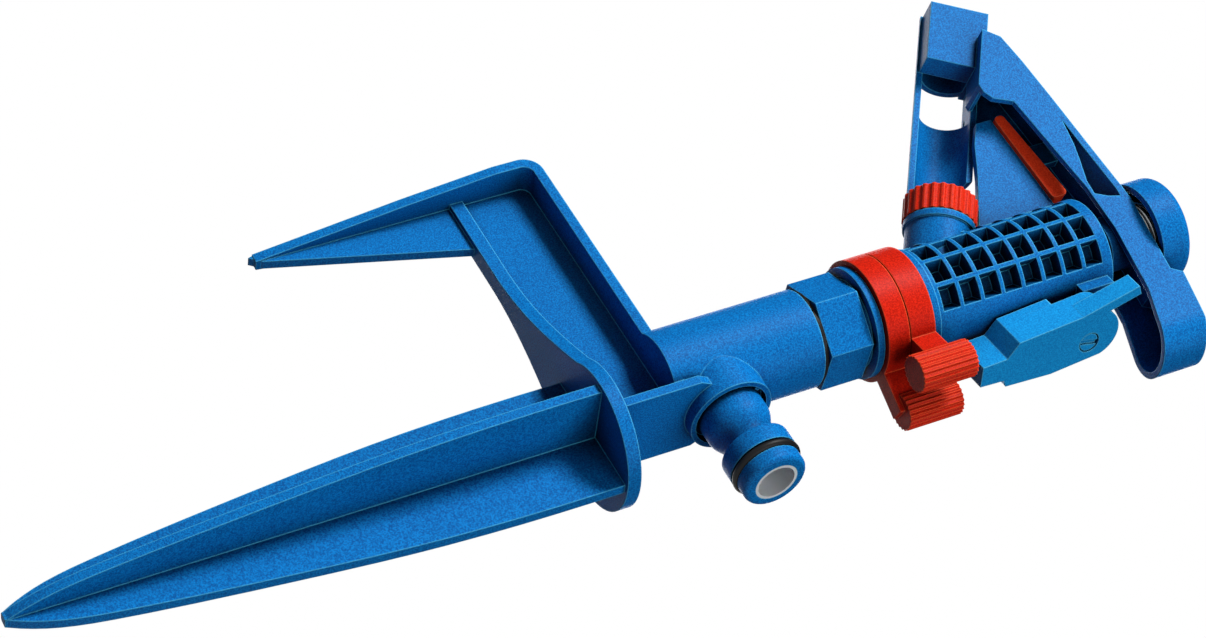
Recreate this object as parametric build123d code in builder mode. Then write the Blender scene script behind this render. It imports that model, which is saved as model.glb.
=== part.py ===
"""Spike impact sprinkler: a ground spike with a step plate and a side prong, a hose nipple,
and an impact head that turns on a bearing nut. Millimetres, +Z up the turning axis.
The origin is on the turning axis at ground level, the underside of the step plate.
+X points to the side prong, -X to the hose nipple."""
import os
from math import cos, radians, sin

from build123d import *

os.makedirs("parts", exist_ok=True)

# spike and step plate
SPIKE_X = -9.5            # the spike stands a little to the nipple side of the turning axis
SPIKE_LENGTH = 142.0
FIN_REACH = 16.8          # half width of the four fins at the step plate
FIN_THICK = 2.6
PLATE_THICK = 3.4
PLATE_R = 18.0            # round end of the step plate
PLATE_NECK = 2.6          # half width of the step plate at the prong
STRIP_X = 44.0            # where the flanks of the plate have run down to the narrow strip
PRONG_X = 71.0            # outer face of the side prong
PRONG_DEPTH = 52.0
PRONG_ROOT = 17.5         # width of the prong blade at the plate
WEB_THICK = 2.4
RIB_THICK = 2.6
RIB_REACH = 9.0           # half width of the rim ribs round the web
RIB_TOP = 23.6            # top face of the upper rim rib
RIM_CORNER = 5.0
WALL_REACH = 11.0         # half width of the upright wall between plate and tube
WALL_TOP = 38.0
WALL_SHOULDER = 26.0

# tube, socket and hose nipple
TUBE_R = 12.2
TUBE_BORE_R = 8.6
TUBE_FLOOR = 25.0
TUBE_TOP = 60.6
NIPPLE_Z = 33.6
SOCKET_R = 10.6
SOCKET_BORE_R = 7.4
SOCKET_FACE = 15.4        # distance of the socket face from the turning axis
SOCKET_RECESS_R = 9.3
SOCKET_RECESS = 2.6
NIPPLE_ROOT = 9.6         # distance of the inner end of the nipple plug from the axis
NIPPLE_BORE_R = 4.7
NIPPLE_CONE_R = 8.1
NIPPLE_NECK_R = 6.3
NIPPLE_NECK = 25.4
NIPPLE_COLLAR_R = 8.9
NIPPLE_COLLAR = 27.2
NIPPLE_GROOVE = 31.4
NIPPLE_GROOVE_R = 6.9
NIPPLE_LIP = 33.6
NIPPLE_NOSE_R = 8.0
NIPPLE_END = 37.4
O_RING_WIRE = 0.97
LINER_WALL = 0.7
LINER_LENGTH = 10.0
KEY_WIDTH = 1.2

# bearing nut and stop collars
SEAL_THICK = 1.2
HEX_R = 13.3              # corner radius of the hexagon
HEX_TURN = 36.0
HEX_LENGTH = 11.4
GROOVE_R = 11.2
GROOVE_LENGTH = 1.0
FLANGE_R = 13.9
FLANGE_LENGTH = 1.8
SPIGOT_R = 8.5
SPIGOT_LENGTH = 11.0
NUT_NECK_R = 11.2
NUT_NECK_END = 89.3
NUT_BORE_R = 6.2
SPRING_POCKET_R = 9.2
SPRING_POCKET_FLOOR = 79.0
COLLAR_R = 15.2
COLLAR_FIT = 0.08
LOWER_COLLAR = (76.3, 82.2)
UPPER_COLLAR = (82.5, 89.3)
TAB_REACH = 24.6          # distance of the tab barrels from the axis
BARREL_R = 4.7
TAB_THICK = 5.0
BARREL_FOOT = 1.3         # from the lower collar's underside up to the barrels
BARREL_RISE = 3.3         # of the barrels over the upper collar
BARREL_SPAN = (LOWER_COLLAR[0] + BARREL_FOOT, UPPER_COLLAR[1] + BARREL_RISE)
LOWER_TAB_ANGLE = 203.0
UPPER_TAB_ANGLE = 167.5
KNURL_COUNT = 22
KNURL_DEPTH = 0.45

# head body
HEAD_ANGLE = 15.0         # the jet side of the head, turned from +X towards +Y
HEAD_BOTTOM = 89.9
HEAD_R = 13.6
HEAD_CORE_R = 9.4
RING_R = 13.9
CELL_BOTTOM = 92.4
CELL_PITCH = 5.83
CELL_COUNT = 8
CELL_TURN = 30.0
CELL_ROWS = 4
RIB_WIDTH = 1.1
HEAD_TOP = 141.4
PIVOT_R = 6.1
PIVOT_BORE_R = 4.4
PIVOT_BOTTOM = 45.5
PIVOT_FLANGE_R = 7.9
PIVOT_FLANGE = 2.6
WASHER_THICK = 1.2
HEAD_SOCKET_DEPTH = 6.0
JET_Z = 98.4              # height at which the jet axis leaves the turning axis
JET_ANGLE = 31.0
BRANCH_R = 8.4
BRANCH_BORE_R = 4.7
BRANCH_END = 18.6
BRANCH_COLLAR_R = 9.0
THREAD_R = 7.0
NUT_START = 20.6
NUT_END = 27.6
NOZZLE_NUT_R = 9.3
JET_BORE_R = 2.3
GUSSET_THICK = 2.4
POST_R = 6.0
POST_TOP = 145.2
SHAFT_R = 2.5
SHAFT_BOTTOM = 126.0
SHAFT_TOP = 163.0

# arm and cap
ARM_BLANK_FOOT = 120.0    # the block that the arm's plan outline is cut from
ARM_BLANK_RISE = 50.0
ARM_BLANK_END = 90.0
ARM_WALL = 1.7
ARM_REACH = 9.2           # half width of the arm
HUB_R = 7.0
HUB_BOTTOM = 145.9
HUB_TOP = 155.8
BUSH_R = 4.4
BUSH_FIT = 0.06
TROUGH_R = 8.2
TROUGH_WALL = 1.6
TROUGH_EDGE = -1.6        # side offset of the trough rim, just behind the jet
SPOON_FRONT = 5.5
WINDOW = (55.0, 66.3)
WINDOW_REACH = 6.6
SPOON_START = 66.3
SPOON_END = 83.8
SPOON_REACH = 7.6         # half width of the spoon box across the jet
TROUGH_START = 29.0
TROUGH_LIP = 37.0         # where the upper wall of the trough begins
LOBE_X = -27.6
CAP_R = 13.4
CAP_WALL = 1.8
CAP_BOTTOM = 156.6
CAP_TOP = 165.6

# trip lever
LEVER_ANGLE = 170.0
LEVER_FACE = 25.0         # distance of the outer face from the axis
LEVER_BACK = 16.8
BLOCK_BACK = 14.5
PIN_R = 1.6
PIN_T = -6.0
PIN_Z = 127.6
PIN_HEAD_R = 2.5

SPRING_WIRE = 1.2
BEARING_SPRING_R = 7.7
SPRING_TURNS = 2.5
BODY_GAP = 0.3            # space between pieces of different moving bodies
CELL_EDGE = 11.0          # first lattice rib beside the jet branch, degrees
BRANCH_LIP = 1.7
THREAD_LENGTH = 5.4
INSERT_RIM = 0.9
NOZZLE_NUT_RIBS = 24
NUT_RIB_DEPTH = 0.45
NUT_FIT = 0.06
NUT_RIM = 0.9
NUT_OPENING_R = 5.4
NUT_CLEARANCE = 0.5       # room cut in the head around the nozzle nut
GUSSET_TOP = [(41.2, 136.1), (9.0, 141.3)]
GUSSET_LOW = [(9.0, 116.4), (14.5, 118.6), (27.0, 124.8), (36.0, 128.6), (41.2, 131.8)]
BUFFER_SPAN = (15.2, 41.0)
BUFFER_TOP = (144.9, 138.9)
BUFFER_REACH = 2.6
BUFFER_ROUND = 1.2
ROUND_SHARE = 0.45        # the largest round on the bar's ends, as a share of the end's height
BRACKET_FACE = 16.4
BRACKET_T = -4.4
BRACKET_WIDTH = 14.0
BRACKET_START = 3.0       # from the pin's axis up to the bracket's lower edge
BRACKET_HEIGHT = 9.0
BRACKET_SPAN = (PIN_Z + BRACKET_START, PIN_Z + BRACKET_START + BRACKET_HEIGHT)
BOSS_R = 5.2
PIN_END = 11.0
PIN_FIT = 0.05
PIN_RECESS = 1.4
PIN_SLOT = 1.2
PIN_SLOT_DEPTH = 0.6
PIN_SINK = 0.2            # the pin head lies this far under the lever's face
LEVER_OUTLINE = [(3.0, 129.4), (0.8, 106.9), (-3.1, 103.8), (-3.5, 97.0), (-9.3, 96.8), (-9.6, 103.4),
                 (-11.6, 104.2), (-12.2, 117.2), (-10.6, 131.2)]
LEVER_NOSE = (-3.0, 135.8)
JAW_OUTLINE = [(0.8, 106.9), (-3.1, 103.8), (-3.5, 97.0), (-9.3, 96.8), (-8.6, 117.0), (-1.6, 117.4),
               (-1.2, 121.0), (2.2, 121.0)]
TONGUE_OUTLINE = [(2.6, 125.0), (6.9, 140.6), (4.4, 141.4), (0.0, 126.0)]
TONGUE_WIDTH = 5.2
ARM_OUTSIDE = [(-37.0, 143.6), (-18.0, 147.4), (0, 147.6), (12.5, 146.1), (40.6, 139.7), (43.0, 134.8),
               (45.4, 133.3), (47.8, 133.1), (62.4, 141.9), (59.0, 145.6), (50.9, 147.6), (38.5, 150.0),
               (24.0, 152.6), (10.0, 155.2), (6.0, 155.8), (-14.6, 155.8), (-16.4, 158.6), (-29.6, 157.8),
               (-37.0, 156.0)]
ARM_INSIDE = [(-36.0, 130.0), (-36.0, 154.2), (-29.6, 156.1), (-17.2, 156.8), (-15.6, 154.0), (6.0, 154.0),
              (10.0, 153.4), (24.0, 150.8), (38.5, 148.2), (50.9, 145.8), (57.0, 144.4), (58.6, 141.8),
              (46.4, 134.4), (46.4, 130.0)]
ARM_WINDOW = [(32.0, 149.4), (24.8, 149.0), (20.5, 148.3), (14.0, 147.0), (10.3, 147.2), (8.6, 150.5),
              (7.8, 153.5), (10.0, 153.4), (24.0, 150.8)]
LUG = [(27.0, 137.4), (33.0, 136.2), (33.0, 149.9), (27.0, 151.0)]
LUG_SPAN = (-5.6, -2.9)   # the striking face stands just off the buffer
ARM_SPRING_R = 7.8
CAP_ROUND = 2.6
CAP_BOSS_R = 4.2

XH = Vector(cos(radians(HEAD_ANGLE)), sin(radians(HEAD_ANGLE)), 0)
YH = Vector(-sin(radians(HEAD_ANGLE)), cos(radians(HEAD_ANGLE)), 0)
UP = Vector(0, 0, 1)
JET = XH * cos(radians(JET_ANGLE)) + UP * sin(radians(JET_ANGLE))
JET_ORIGIN = Vector(0, 0, JET_Z)


def level(z):
    return Plane(origin=(0, 0, z))


def side(y=0.0):
    """Upright plane through x and z, at distance y."""
    return Plane(origin=(0, y, 0), x_dir=(1, 0, 0), z_dir=(0, -1, 0))


def head_side(offset=0.0):
    """Upright plane through the jet, local x outwards along the head and local y up."""
    return Plane(origin=YH * offset, x_dir=XH, z_dir=YH * -1)


def across_jet(distance):
    """Plane square to the jet, local x to the side and local y up across the jet."""
    return Plane(origin=JET_ORIGIN + JET * distance, x_dir=YH, z_dir=JET)


def along_jet(offset):
    """Upright plane through the jet, local x along the jet and local y across it."""
    return Plane(origin=JET_ORIGIN + YH * offset, x_dir=JET, z_dir=YH * -1)


def nipple_plane(distance):
    """Plane square to the hose nipple at a distance from the axis, looking outwards."""
    return Plane(origin=(-distance, 0, NIPPLE_Z), x_dir=(0, -1, 0), z_dir=(-1, 0, 0))


def around(angle, reach):
    return (reach * cos(radians(angle)), reach * sin(radians(angle)))


def lever_plane(reach):
    """Plane square to the trip pin, local x along the tangent and local y up."""
    a = radians(LEVER_ANGLE)
    out = Vector(cos(a), sin(a), 0)
    tangent = Vector(sin(a), -cos(a), 0)
    return Plane(origin=out * reach, x_dir=tangent, z_dir=out * -1)


def fin_outline():
    """Half widths of the spike from the plate down to the tip."""
    return [(FIN_REACH, 0.0), (FIN_REACH * 0.99, -25), (FIN_REACH * 0.92, -50), (FIN_REACH * 0.79, -74),
            (FIN_REACH * 0.64, -97), (FIN_REACH * 0.47, -119), (FIN_REACH * 0.33, -131), (1.0, -SPIKE_LENGTH)]


# spike body: four fins, step plate, web with rim ribs, prong, tube and socket
spike_depths = fin_outline()
with BuildPart() as spike_body:
    with BuildSketch(side()):
        with BuildLine():
            Spline([(SPIKE_X + w, z) for w, z in spike_depths])
            Line((SPIKE_X + 1.0, -SPIKE_LENGTH), (SPIKE_X - 1.0, -SPIKE_LENGTH))
            Spline([(SPIKE_X - w, z) for w, z in reversed(spike_depths)])
            Line((SPIKE_X - FIN_REACH, 0), (SPIKE_X + FIN_REACH, 0))
        make_face()
    extrude(amount=FIN_THICK / 2, both=True)
    with BuildSketch(Plane(origin=(SPIKE_X, 0, 0), x_dir=(0, 1, 0), z_dir=(1, 0, 0))):
        with BuildLine():
            Spline([(w, z) for w, z in spike_depths])
            Line((1.0, -SPIKE_LENGTH), (-1.0, -SPIKE_LENGTH))
            Spline([(-w, z) for w, z in reversed(spike_depths)])
            Line((-FIN_REACH, 0), (FIN_REACH, 0))
        make_face()
    extrude(amount=FIN_THICK / 2, both=True)
    with BuildSketch(level(0)):
        with BuildLine():
            flank = [(SPIKE_X + PLATE_R * 0.62, PLATE_R * 0.785), (14.0, 9.0), (28.0, 4.6),
                     (STRIP_X, PLATE_NECK)]
            Spline(flank)
            Polyline((STRIP_X, PLATE_NECK), (PRONG_X, PLATE_NECK), (PRONG_X, -PLATE_NECK),
                     (STRIP_X, -PLATE_NECK))
            Spline([(x, -y) for x, y in reversed(flank)])
            ThreePointArc((flank[0][0], -flank[0][1]), (SPIKE_X - PLATE_R, 0), flank[0])
        make_face()
    extrude(amount=PLATE_THICK)
    with BuildSketch(side()):
        with BuildLine():
            Polyline((SPIKE_X, 1.0), (PRONG_X - PRONG_ROOT, 1.0), (PRONG_X - 3.0, -PRONG_DEPTH + 3),
                     (PRONG_X - 0.6, -PRONG_DEPTH), (PRONG_X, -PRONG_DEPTH + 2),
                     (PRONG_X, RIB_TOP), (SPIKE_X, RIB_TOP), (SPIKE_X, 1.0))
        make_face()
    extrude(amount=WEB_THICK / 2, both=True)
    with BuildSketch(Plane(origin=(PRONG_X - RIB_THICK, 0, 0), x_dir=(0, 1, 0), z_dir=(1, 0, 0))):
        with BuildLine():
            Polyline((-1.4, -PRONG_DEPTH + 1.2), (1.4, -PRONG_DEPTH + 1.2), (RIB_REACH * 0.72, -12),
                     (RIB_REACH, 12), (RIB_REACH, RIB_TOP), (-RIB_REACH, RIB_TOP), (-RIB_REACH, 12),
                     (-RIB_REACH * 0.72, -12), (-1.4, -PRONG_DEPTH + 1.2))
        make_face()
    extrude(amount=RIB_THICK)
    with BuildSketch(level(RIB_TOP - RIB_THICK)):
        with Locations(((PRONG_X + SPIKE_X) / 2, 0)):
            Rectangle(PRONG_X - SPIKE_X, RIB_REACH * 2)
    extrude(amount=RIB_THICK)
    rim = spike_body.edges().filter_by(Axis.Y).filter_by_position(Axis.X, PRONG_X - 0.01, PRONG_X + 0.01)
    fillet(rim.filter_by_position(Axis.Z, RIB_TOP - 0.01, RIB_TOP + 0.01), RIM_CORNER)
    inner = spike_body.edges().filter_by(Axis.Y).filter_by_position(
        Axis.X, PRONG_X - RIB_THICK - 0.01, PRONG_X - RIB_THICK + 0.01)
    fillet(inner.filter_by_position(Axis.Z, RIB_TOP - RIB_THICK - 0.01, RIB_TOP - RIB_THICK + 0.01),
           RIM_CORNER - RIB_THICK + 0.2)
    with BuildSketch(Plane(origin=(-TUBE_R, 0, 0), x_dir=(0, 1, 0), z_dir=(1, 0, 0))):
        with BuildLine():
            Polyline((-WALL_REACH, 1), (WALL_REACH, 1), (WALL_REACH, WALL_SHOULDER), (4.0, WALL_TOP),
                     (-4.0, WALL_TOP), (-WALL_REACH, WALL_SHOULDER), (-WALL_REACH, 1))
        make_face()
    extrude(amount=WEB_THICK)
    with BuildSketch(level(RIB_TOP - RIB_THICK)):
        Circle(TUBE_R)
    extrude(amount=TUBE_TOP - RIB_TOP + RIB_THICK)
    with BuildSketch(nipple_plane(4.0)):
        Circle(SOCKET_R)
    extrude(amount=SOCKET_FACE - 4.0)
    with BuildSketch(level(TUBE_FLOOR)):
        Circle(TUBE_BORE_R)
    extrude(amount=TUBE_TOP, mode=Mode.SUBTRACT)
    with BuildSketch(nipple_plane(0)):
        Circle(SOCKET_BORE_R)
    extrude(amount=SOCKET_FACE + 1, mode=Mode.SUBTRACT)
    with BuildSketch(nipple_plane(SOCKET_FACE - SOCKET_RECESS)):
        Circle(SOCKET_RECESS_R)
    extrude(amount=SOCKET_RECESS + 1, mode=Mode.SUBTRACT)
    with BuildSketch(nipple_plane(SOCKET_FACE - SOCKET_RECESS)):
        with Locations((-6.65, 6.65)):
            Rectangle(KEY_WIDTH, 2.0, rotation=45)
    extrude(amount=SOCKET_RECESS - 0.4)
spike_body.part.label = "spike_body"
export_step(spike_body.part, "parts/spike_body.step")

# hose nipple with its sealing ring and bore liner
with BuildPart() as hose_nipple:
    with BuildSketch(side()):
        with BuildLine():
            Polyline((-NIPPLE_ROOT, NIPPLE_Z), (-NIPPLE_ROOT, NIPPLE_Z + SOCKET_BORE_R),
                     (-SOCKET_FACE + SOCKET_RECESS, NIPPLE_Z + SOCKET_BORE_R),
                     (-SOCKET_FACE + SOCKET_RECESS, NIPPLE_Z + NIPPLE_CONE_R),
                     (-SOCKET_FACE - 3.2, NIPPLE_Z + NIPPLE_CONE_R),
                     (-NIPPLE_NECK, NIPPLE_Z + NIPPLE_NECK_R), (-NIPPLE_NECK - 0.6, NIPPLE_Z + NIPPLE_NECK_R + 1),
                     (-NIPPLE_COLLAR, NIPPLE_Z + NIPPLE_COLLAR_R), (-NIPPLE_GROOVE, NIPPLE_Z + NIPPLE_COLLAR_R),
                     (-NIPPLE_GROOVE, NIPPLE_Z + NIPPLE_GROOVE_R), (-NIPPLE_LIP, NIPPLE_Z + NIPPLE_GROOVE_R),
                     (-NIPPLE_LIP, NIPPLE_Z + NIPPLE_NOSE_R + 0.3), (-NIPPLE_END + 1.0, NIPPLE_Z + NIPPLE_NOSE_R),
                     (-NIPPLE_END, NIPPLE_Z + NIPPLE_NOSE_R - 1.1), (-NIPPLE_END, NIPPLE_Z),
                     (-NIPPLE_ROOT, NIPPLE_Z))
        make_face()
    revolve(axis=Axis((0, 0, NIPPLE_Z), (1, 0, 0)))
    with BuildSketch(nipple_plane(NIPPLE_ROOT - 1)):
        Circle(NIPPLE_BORE_R)
    extrude(amount=NIPPLE_END, mode=Mode.SUBTRACT)
    with BuildSketch(nipple_plane(NIPPLE_END - LINER_LENGTH)):
        Circle(NIPPLE_BORE_R + LINER_WALL)
    extrude(amount=LINER_LENGTH + 1, mode=Mode.SUBTRACT)
hose_nipple.part.label = "hose_nipple"
export_step(hose_nipple.part, "parts/hose_nipple.step")

with BuildPart() as nipple_o_ring:
    with BuildSketch(side()):
        with Locations((-(NIPPLE_GROOVE + NIPPLE_LIP) / 2, NIPPLE_Z + NIPPLE_GROOVE_R + O_RING_WIRE)):
            Circle(O_RING_WIRE)
    revolve(axis=Axis((0, 0, NIPPLE_Z), (1, 0, 0)))
nipple_o_ring.part.label = "nipple_o_ring"
export_step(nipple_o_ring.part, "parts/nipple_o_ring.step")

with BuildPart() as nipple_liner:
    with BuildSketch(nipple_plane(NIPPLE_END - LINER_LENGTH)):
        Circle(NIPPLE_BORE_R + LINER_WALL)
        Circle(NIPPLE_BORE_R, mode=Mode.SUBTRACT)
    extrude(amount=LINER_LENGTH)
nipple_liner.part.label = "nipple_liner"
export_step(nipple_liner.part, "parts/nipple_liner.step")

# bearing nut on its seal, screwed into the tube
with BuildPart() as nut_seal:
    with BuildSketch(level(TUBE_TOP)):
        Circle(TUBE_R - 0.5)
        Circle(SPIGOT_R, mode=Mode.SUBTRACT)
    extrude(amount=SEAL_THICK)
nut_seal.part.label = "nut_seal"
export_step(nut_seal.part, "parts/nut_seal.step")

HEX_BOTTOM = TUBE_TOP + SEAL_THICK
HEX_TOP = HEX_BOTTOM + HEX_LENGTH
FLANGE_BOTTOM = HEX_TOP + GROOVE_LENGTH
FLANGE_TOP = FLANGE_BOTTOM + FLANGE_LENGTH
with BuildPart() as bearing_nut:
    with BuildSketch(level(HEX_BOTTOM)):
        RegularPolygon(HEX_R, 6, rotation=HEX_TURN)
    extrude(amount=HEX_LENGTH)
    with BuildSketch(level(TUBE_TOP - SPIGOT_LENGTH)):
        Circle(SPIGOT_R)
    extrude(amount=SPIGOT_LENGTH + SEAL_THICK)
    with BuildSketch(level(HEX_TOP)):
        Circle(GROOVE_R)
    extrude(amount=GROOVE_LENGTH)
    with BuildSketch(level(FLANGE_BOTTOM)):
        Circle(FLANGE_R)
    extrude(amount=FLANGE_LENGTH)
    with BuildSketch(level(FLANGE_TOP)):
        Circle(NUT_NECK_R)
    extrude(amount=NUT_NECK_END - FLANGE_TOP)
    with BuildSketch(level(TUBE_TOP - SPIGOT_LENGTH)):
        Circle(NUT_BORE_R)
    extrude(amount=NUT_NECK_END, mode=Mode.SUBTRACT)
    with BuildSketch(level(SPRING_POCKET_FLOOR)):
        Circle(SPRING_POCKET_R)
    extrude(amount=NUT_NECK_END, mode=Mode.SUBTRACT)
bearing_nut.part.label = "bearing_nut"
export_step(bearing_nut.part, "parts/bearing_nut.step")


def barrel_outline(angle):
    """Finely ribbed round end of a collar tab."""
    cx, cy = around(angle, TAB_REACH)
    points = []
    for k in range(KNURL_COUNT * 2):
        r = BARREL_R - (KNURL_DEPTH if k % 2 else 0)
        a = 360 * k / (KNURL_COUNT * 2)
        points.append((cx + r * cos(radians(a)), cy + r * sin(radians(a))))
    return points + points[:1]


with BuildPart() as stop_collar_lower:
    with BuildSketch(level(LOWER_COLLAR[0])):
        Circle(COLLAR_R)
    extrude(amount=LOWER_COLLAR[1] - LOWER_COLLAR[0])
    with BuildSketch(level(LOWER_COLLAR[0])):
        with Locations(around(LOWER_TAB_ANGLE, (TAB_REACH + COLLAR_R) / 2 - 1)):
            Rectangle(TAB_REACH - COLLAR_R + 3, TAB_THICK, rotation=LOWER_TAB_ANGLE)
    extrude(amount=LOWER_COLLAR[1] - LOWER_COLLAR[0])
    with BuildSketch(level(BARREL_SPAN[0])):
        with BuildLine():
            Polyline(*barrel_outline(LOWER_TAB_ANGLE))
        make_face()
    extrude(amount=BARREL_SPAN[1] - BARREL_SPAN[0])
    with BuildSketch(level(LOWER_COLLAR[0])):
        Circle(NUT_NECK_R + COLLAR_FIT)
    extrude(amount=LOWER_COLLAR[1] - LOWER_COLLAR[0], mode=Mode.SUBTRACT)
stop_collar_lower.part.label = "stop_collar_lower"
export_step(stop_collar_lower.part, "parts/stop_collar_lower.step")

with BuildPart() as stop_collar_upper:
    with BuildSketch(level(UPPER_COLLAR[0])):
        Circle(COLLAR_R)
    extrude(amount=UPPER_COLLAR[1] - UPPER_COLLAR[0])
    with BuildSketch(level(UPPER_COLLAR[0])):
        with Locations(around(UPPER_TAB_ANGLE, (TAB_REACH + COLLAR_R) / 2 - 1)):
            Rectangle(TAB_REACH - COLLAR_R + 3, TAB_THICK, rotation=UPPER_TAB_ANGLE)
    extrude(amount=UPPER_COLLAR[1] - UPPER_COLLAR[0])
    with BuildSketch(level(BARREL_SPAN[0])):
        with BuildLine():
            Polyline(*barrel_outline(UPPER_TAB_ANGLE))
        make_face()
    extrude(amount=BARREL_SPAN[1] - BARREL_SPAN[0])
    with BuildSketch(level(UPPER_COLLAR[0])):
        Circle(NUT_NECK_R + COLLAR_FIT)
    extrude(amount=UPPER_COLLAR[1] - UPPER_COLLAR[0], mode=Mode.SUBTRACT)
stop_collar_upper.part.label = "stop_collar_upper"
export_step(stop_collar_upper.part, "parts/stop_collar_upper.step")

# pivot tube that carries the head, with its thrust washer
with BuildPart() as pivot_tube:
    with BuildSketch(level(PIVOT_BOTTOM)):
        Circle(PIVOT_FLANGE_R)
    extrude(amount=PIVOT_FLANGE)
    with BuildSketch(level(PIVOT_BOTTOM)):
        Circle(PIVOT_R)
    extrude(amount=HEAD_BOTTOM + HEAD_SOCKET_DEPTH - PIVOT_BOTTOM)
    with BuildSketch(level(PIVOT_BOTTOM)):
        Circle(PIVOT_BORE_R)
    extrude(amount=HEAD_TOP, mode=Mode.SUBTRACT)
pivot_tube.part.label = "pivot_tube"
export_step(pivot_tube.part, "parts/pivot_tube.step")

with BuildPart() as pivot_washer:
    with BuildSketch(level(PIVOT_BOTTOM + PIVOT_FLANGE)):
        Circle(PIVOT_FLANGE_R)
        Circle(PIVOT_R, mode=Mode.SUBTRACT)
    extrude(amount=WASHER_THICK)
pivot_washer.part.label = "pivot_washer"
export_step(pivot_washer.part, "parts/pivot_washer.step")

with BuildPart() as bearing_spring:
    with BuildLine() as coil:
        rise = HEAD_BOTTOM - BODY_GAP - SPRING_POCKET_FLOOR - SPRING_WIRE
        Helix(pitch=rise / SPRING_TURNS, height=rise, radius=BEARING_SPRING_R,
              center=(0, 0, SPRING_POCKET_FLOOR + SPRING_WIRE / 2))
    with BuildSketch(Plane(origin=coil.line @ 0, z_dir=coil.line % 0)):
        Circle(SPRING_WIRE / 2)
    sweep()
bearing_spring.part.label = "bearing_spring"
export_step(bearing_spring.part, "parts/bearing_spring.step")

# head body: open lattice round a core, jet branch, gusset, lever bracket and post
rib_angles = [HEAD_ANGLE + sign * (CELL_EDGE + CELL_TURN * k) for k in range(CELL_ROWS + 1) for sign in (1, -1)]
solid_band = [around(HEAD_ANGLE + a, 20) for a in (131, 155, 180, 205, 229)]
jet_band = [around(HEAD_ANGLE + a, 20) for a in (-CELL_EDGE, 0, CELL_EDGE)]
with BuildPart() as head_body:
    with BuildSketch(level(HEAD_BOTTOM)):
        Circle(HEAD_R)
    extrude(amount=HEAD_TOP - HEAD_BOTTOM)
    with BuildSketch(level(HEAD_BOTTOM)):
        Circle(RING_R)
    extrude(amount=CELL_BOTTOM - HEAD_BOTTOM - 0.6)
    cell_floors = [level(CELL_BOTTOM + RIB_WIDTH / 2 + CELL_PITCH * k) for k in range(CELL_COUNT)]
    with BuildSketch(*cell_floors):
        Circle(HEAD_R + 1)
        Circle(HEAD_CORE_R, mode=Mode.SUBTRACT)
        for angle in rib_angles:
            with Locations(around(angle, HEAD_R - 2)):
                Rectangle(8, RIB_WIDTH, rotation=angle, mode=Mode.SUBTRACT)
        Polygon((0, 0), *solid_band, align=None, mode=Mode.SUBTRACT)
        Polygon((0, 0), *jet_band, align=None, mode=Mode.SUBTRACT)
    extrude(amount=CELL_PITCH - RIB_WIDTH, mode=Mode.SUBTRACT)
    with BuildSketch(across_jet(2.0)):
        Circle(BRANCH_R)
    extrude(amount=BRANCH_END - 2.0)
    with BuildSketch(across_jet(BRANCH_END)):
        Circle(BRANCH_COLLAR_R)
    extrude(amount=BRANCH_LIP)
    with BuildSketch(across_jet(BRANCH_END + BRANCH_LIP)):
        Circle(THREAD_R)
    extrude(amount=THREAD_LENGTH)
    with BuildSketch(across_jet(BRANCH_END + BRANCH_LIP)):
        Circle(NOZZLE_NUT_R + NUT_CLEARANCE)
        Circle(THREAD_R, mode=Mode.SUBTRACT)
    extrude(amount=NUT_END, mode=Mode.SUBTRACT)
    with BuildSketch(head_side()):
        Polygon(*GUSSET_LOW, *GUSSET_TOP, align=None)
    extrude(amount=GUSSET_THICK / 2, both=True)
    with BuildSketch(lever_plane(BRACKET_FACE)):
        with Locations((PIN_T, PIN_Z)):
            Circle(BOSS_R)
        with Locations((BRACKET_T, (BRACKET_SPAN[0] + BRACKET_SPAN[1]) / 2)):
            Rectangle(BRACKET_WIDTH, BRACKET_SPAN[1] - BRACKET_SPAN[0])
    extrude(amount=BRACKET_FACE - 9.0)
    with BuildSketch(level(HEAD_TOP)):
        Circle(POST_R)
    extrude(amount=POST_TOP - HEAD_TOP)
    with BuildSketch(level(HEAD_BOTTOM)):
        Circle(PIVOT_R)
    extrude(amount=HEAD_SOCKET_DEPTH, mode=Mode.SUBTRACT)
    with BuildSketch(level(HEAD_BOTTOM)):
        Circle(PIVOT_BORE_R)
    extrude(amount=JET_Z + 4 - HEAD_BOTTOM, mode=Mode.SUBTRACT)
    with BuildSketch(across_jet(0)):
        Circle(BRANCH_BORE_R)
    extrude(amount=BRANCH_END + 20, mode=Mode.SUBTRACT)
    with BuildSketch(level(SHAFT_BOTTOM)):
        Circle(SHAFT_R)
    extrude(amount=POST_TOP, mode=Mode.SUBTRACT)
    with BuildSketch(lever_plane(LEVER_FACE)):
        with Locations((PIN_T, PIN_Z)):
            Circle(PIN_R)
    extrude(amount=LEVER_FACE - PIN_END, mode=Mode.SUBTRACT)
head_body.part.label = "head_body"
export_step(head_body.part, "parts/head_body.step")

# nozzle insert held by the ribbed nozzle nut
with BuildPart() as nozzle_insert:
    with BuildSketch(across_jet(BRANCH_END - 4)):
        Circle(BRANCH_BORE_R)
    extrude(amount=THREAD_LENGTH + BRANCH_LIP + 4)
    with BuildSketch(across_jet(BRANCH_END + BRANCH_LIP + THREAD_LENGTH)):
        Circle(THREAD_R)
    extrude(amount=INSERT_RIM)
    with BuildSketch(across_jet(BRANCH_END - 4)):
        Circle(JET_BORE_R)
    extrude(amount=40, mode=Mode.SUBTRACT)
nozzle_insert.part.label = "nozzle_insert"
export_step(nozzle_insert.part, "parts/nozzle_insert.step")

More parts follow.
